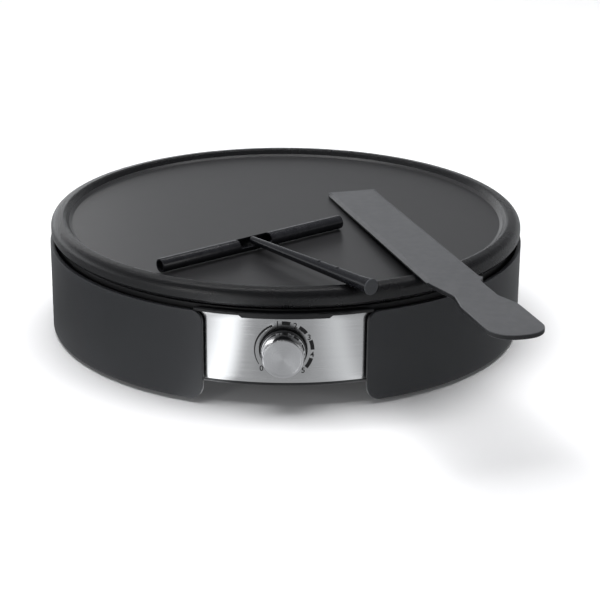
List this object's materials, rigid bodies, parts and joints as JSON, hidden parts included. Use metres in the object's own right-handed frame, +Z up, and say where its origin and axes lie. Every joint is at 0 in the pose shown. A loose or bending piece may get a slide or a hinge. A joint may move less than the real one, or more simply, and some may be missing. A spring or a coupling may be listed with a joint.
{
  "type": "electric crepe maker",
  "caption": "Round countertop electric crepe maker with a rimmed non-stick plate, steel front with a heat dial, side shells, and a batter spreader and spatula resting on the plate.",
  "frame": {"origin": "on the plate's axis, at the plane of the feet's undersides, which is the worktop", "axes": "+Z up, -Y towards the user through the dial, +X to the user's right"},
  "size_m": [0.3316, 0.4192, 0.0903],
  "materials": {
    "coating": "cast aluminium with a dark grey matt non-stick coating",
    "element_sheath": "drawn steel sheath, heat tinted",
    "ceramic": "unglazed steatite",
    "plated_steel": "zinc plated",
    "shield_steel": "aluminised sheet",
    "housing_black": "fine matt moulded",
    "brushed_panel": "horizontally brushed",
    "shell_grey": "satin moulded, charcoal",
    "foot_rubber": "matt",
    "brass": "stamped",
    "knob_black": "semi-gloss",
    "knob_chrome": "bright plated",
    "knob_disc": "spun",
    "fuse_can": "anodised can",
    "block_white": "moulded nylon",
    "utensil_black": "satin nylon",
    "utensil_grey": "satin nylon"
  },
  "bodies": {
    "base": {"griddle_plate": "coating", "heating_element": "element_sheath", "element_insulator_right": "ceramic", "element_insulator_left": "ceramic", "element_terminal_right": "plated_steel", "element_terminal_left": "plated_steel", "heat_shield": "shield_steel", "plate_standoff_1": "plated_steel", "plate_standoff_2": "plated_steel", "plate_standoff_3": "plated_steel", "plate_standoff_4": "plated_steel", "plate_screws": "plated_steel", "base_housing": "housing_black", "front_panel": "brushed_panel", "right_side_shell": "shell_grey", "left_side_shell": "shell_grey", "foot_rear_right": "foot_rubber", "foot_rear_left": "foot_rubber", "foot_front_left": "foot_rubber", "foot_front_right": "foot_rubber", "foot_screws": "plated_steel", "shell_screws": "plated_steel", "bracket_screw": "plated_steel", "thermostat_body": "ceramic", "thermostat_bracket": "plated_steel", "thermostat_blades": "brass", "thermal_fuse": "fuse_can", "fuse_clip": "plated_steel", "terminal_block": "block_white", "earth_tab": "brass", "earth_screw": "plated_steel", "cord_gland": "housing_black", "gland_nut": "housing_black"},
    "knob": {"control_knob": "knob_black", "knob_skirt": "knob_chrome", "knob_face_disc": "knob_disc", "knob_pointer": "knob_black", "thermostat_spindle": "plated_steel"},
    "spreader": {"spreader_head": "utensil_black", "spreader_handle": "utensil_black", "spreader_end_cap": "utensil_black"},
    "spatula": {"spatula": "utensil_grey"}
  },
  "joints": [
    {"name": "knob_turn", "type": "hinge", "parent": "base", "child": "knob", "pos_m": [0, -0.161, 0.039], "axis": [0, 1, 0], "range_deg": [-42, 227]},
    {"name": "spreader_lift", "type": "slide", "parent": "base", "child": "spreader", "axis": [0, 0, 1], "range_m": [0, 0.12]},
    {"name": "spatula_lift", "type": "slide", "parent": "base", "child": "spatula", "axis": [0, 0, 1], "range_m": [0, 0.12]}
  ]
}
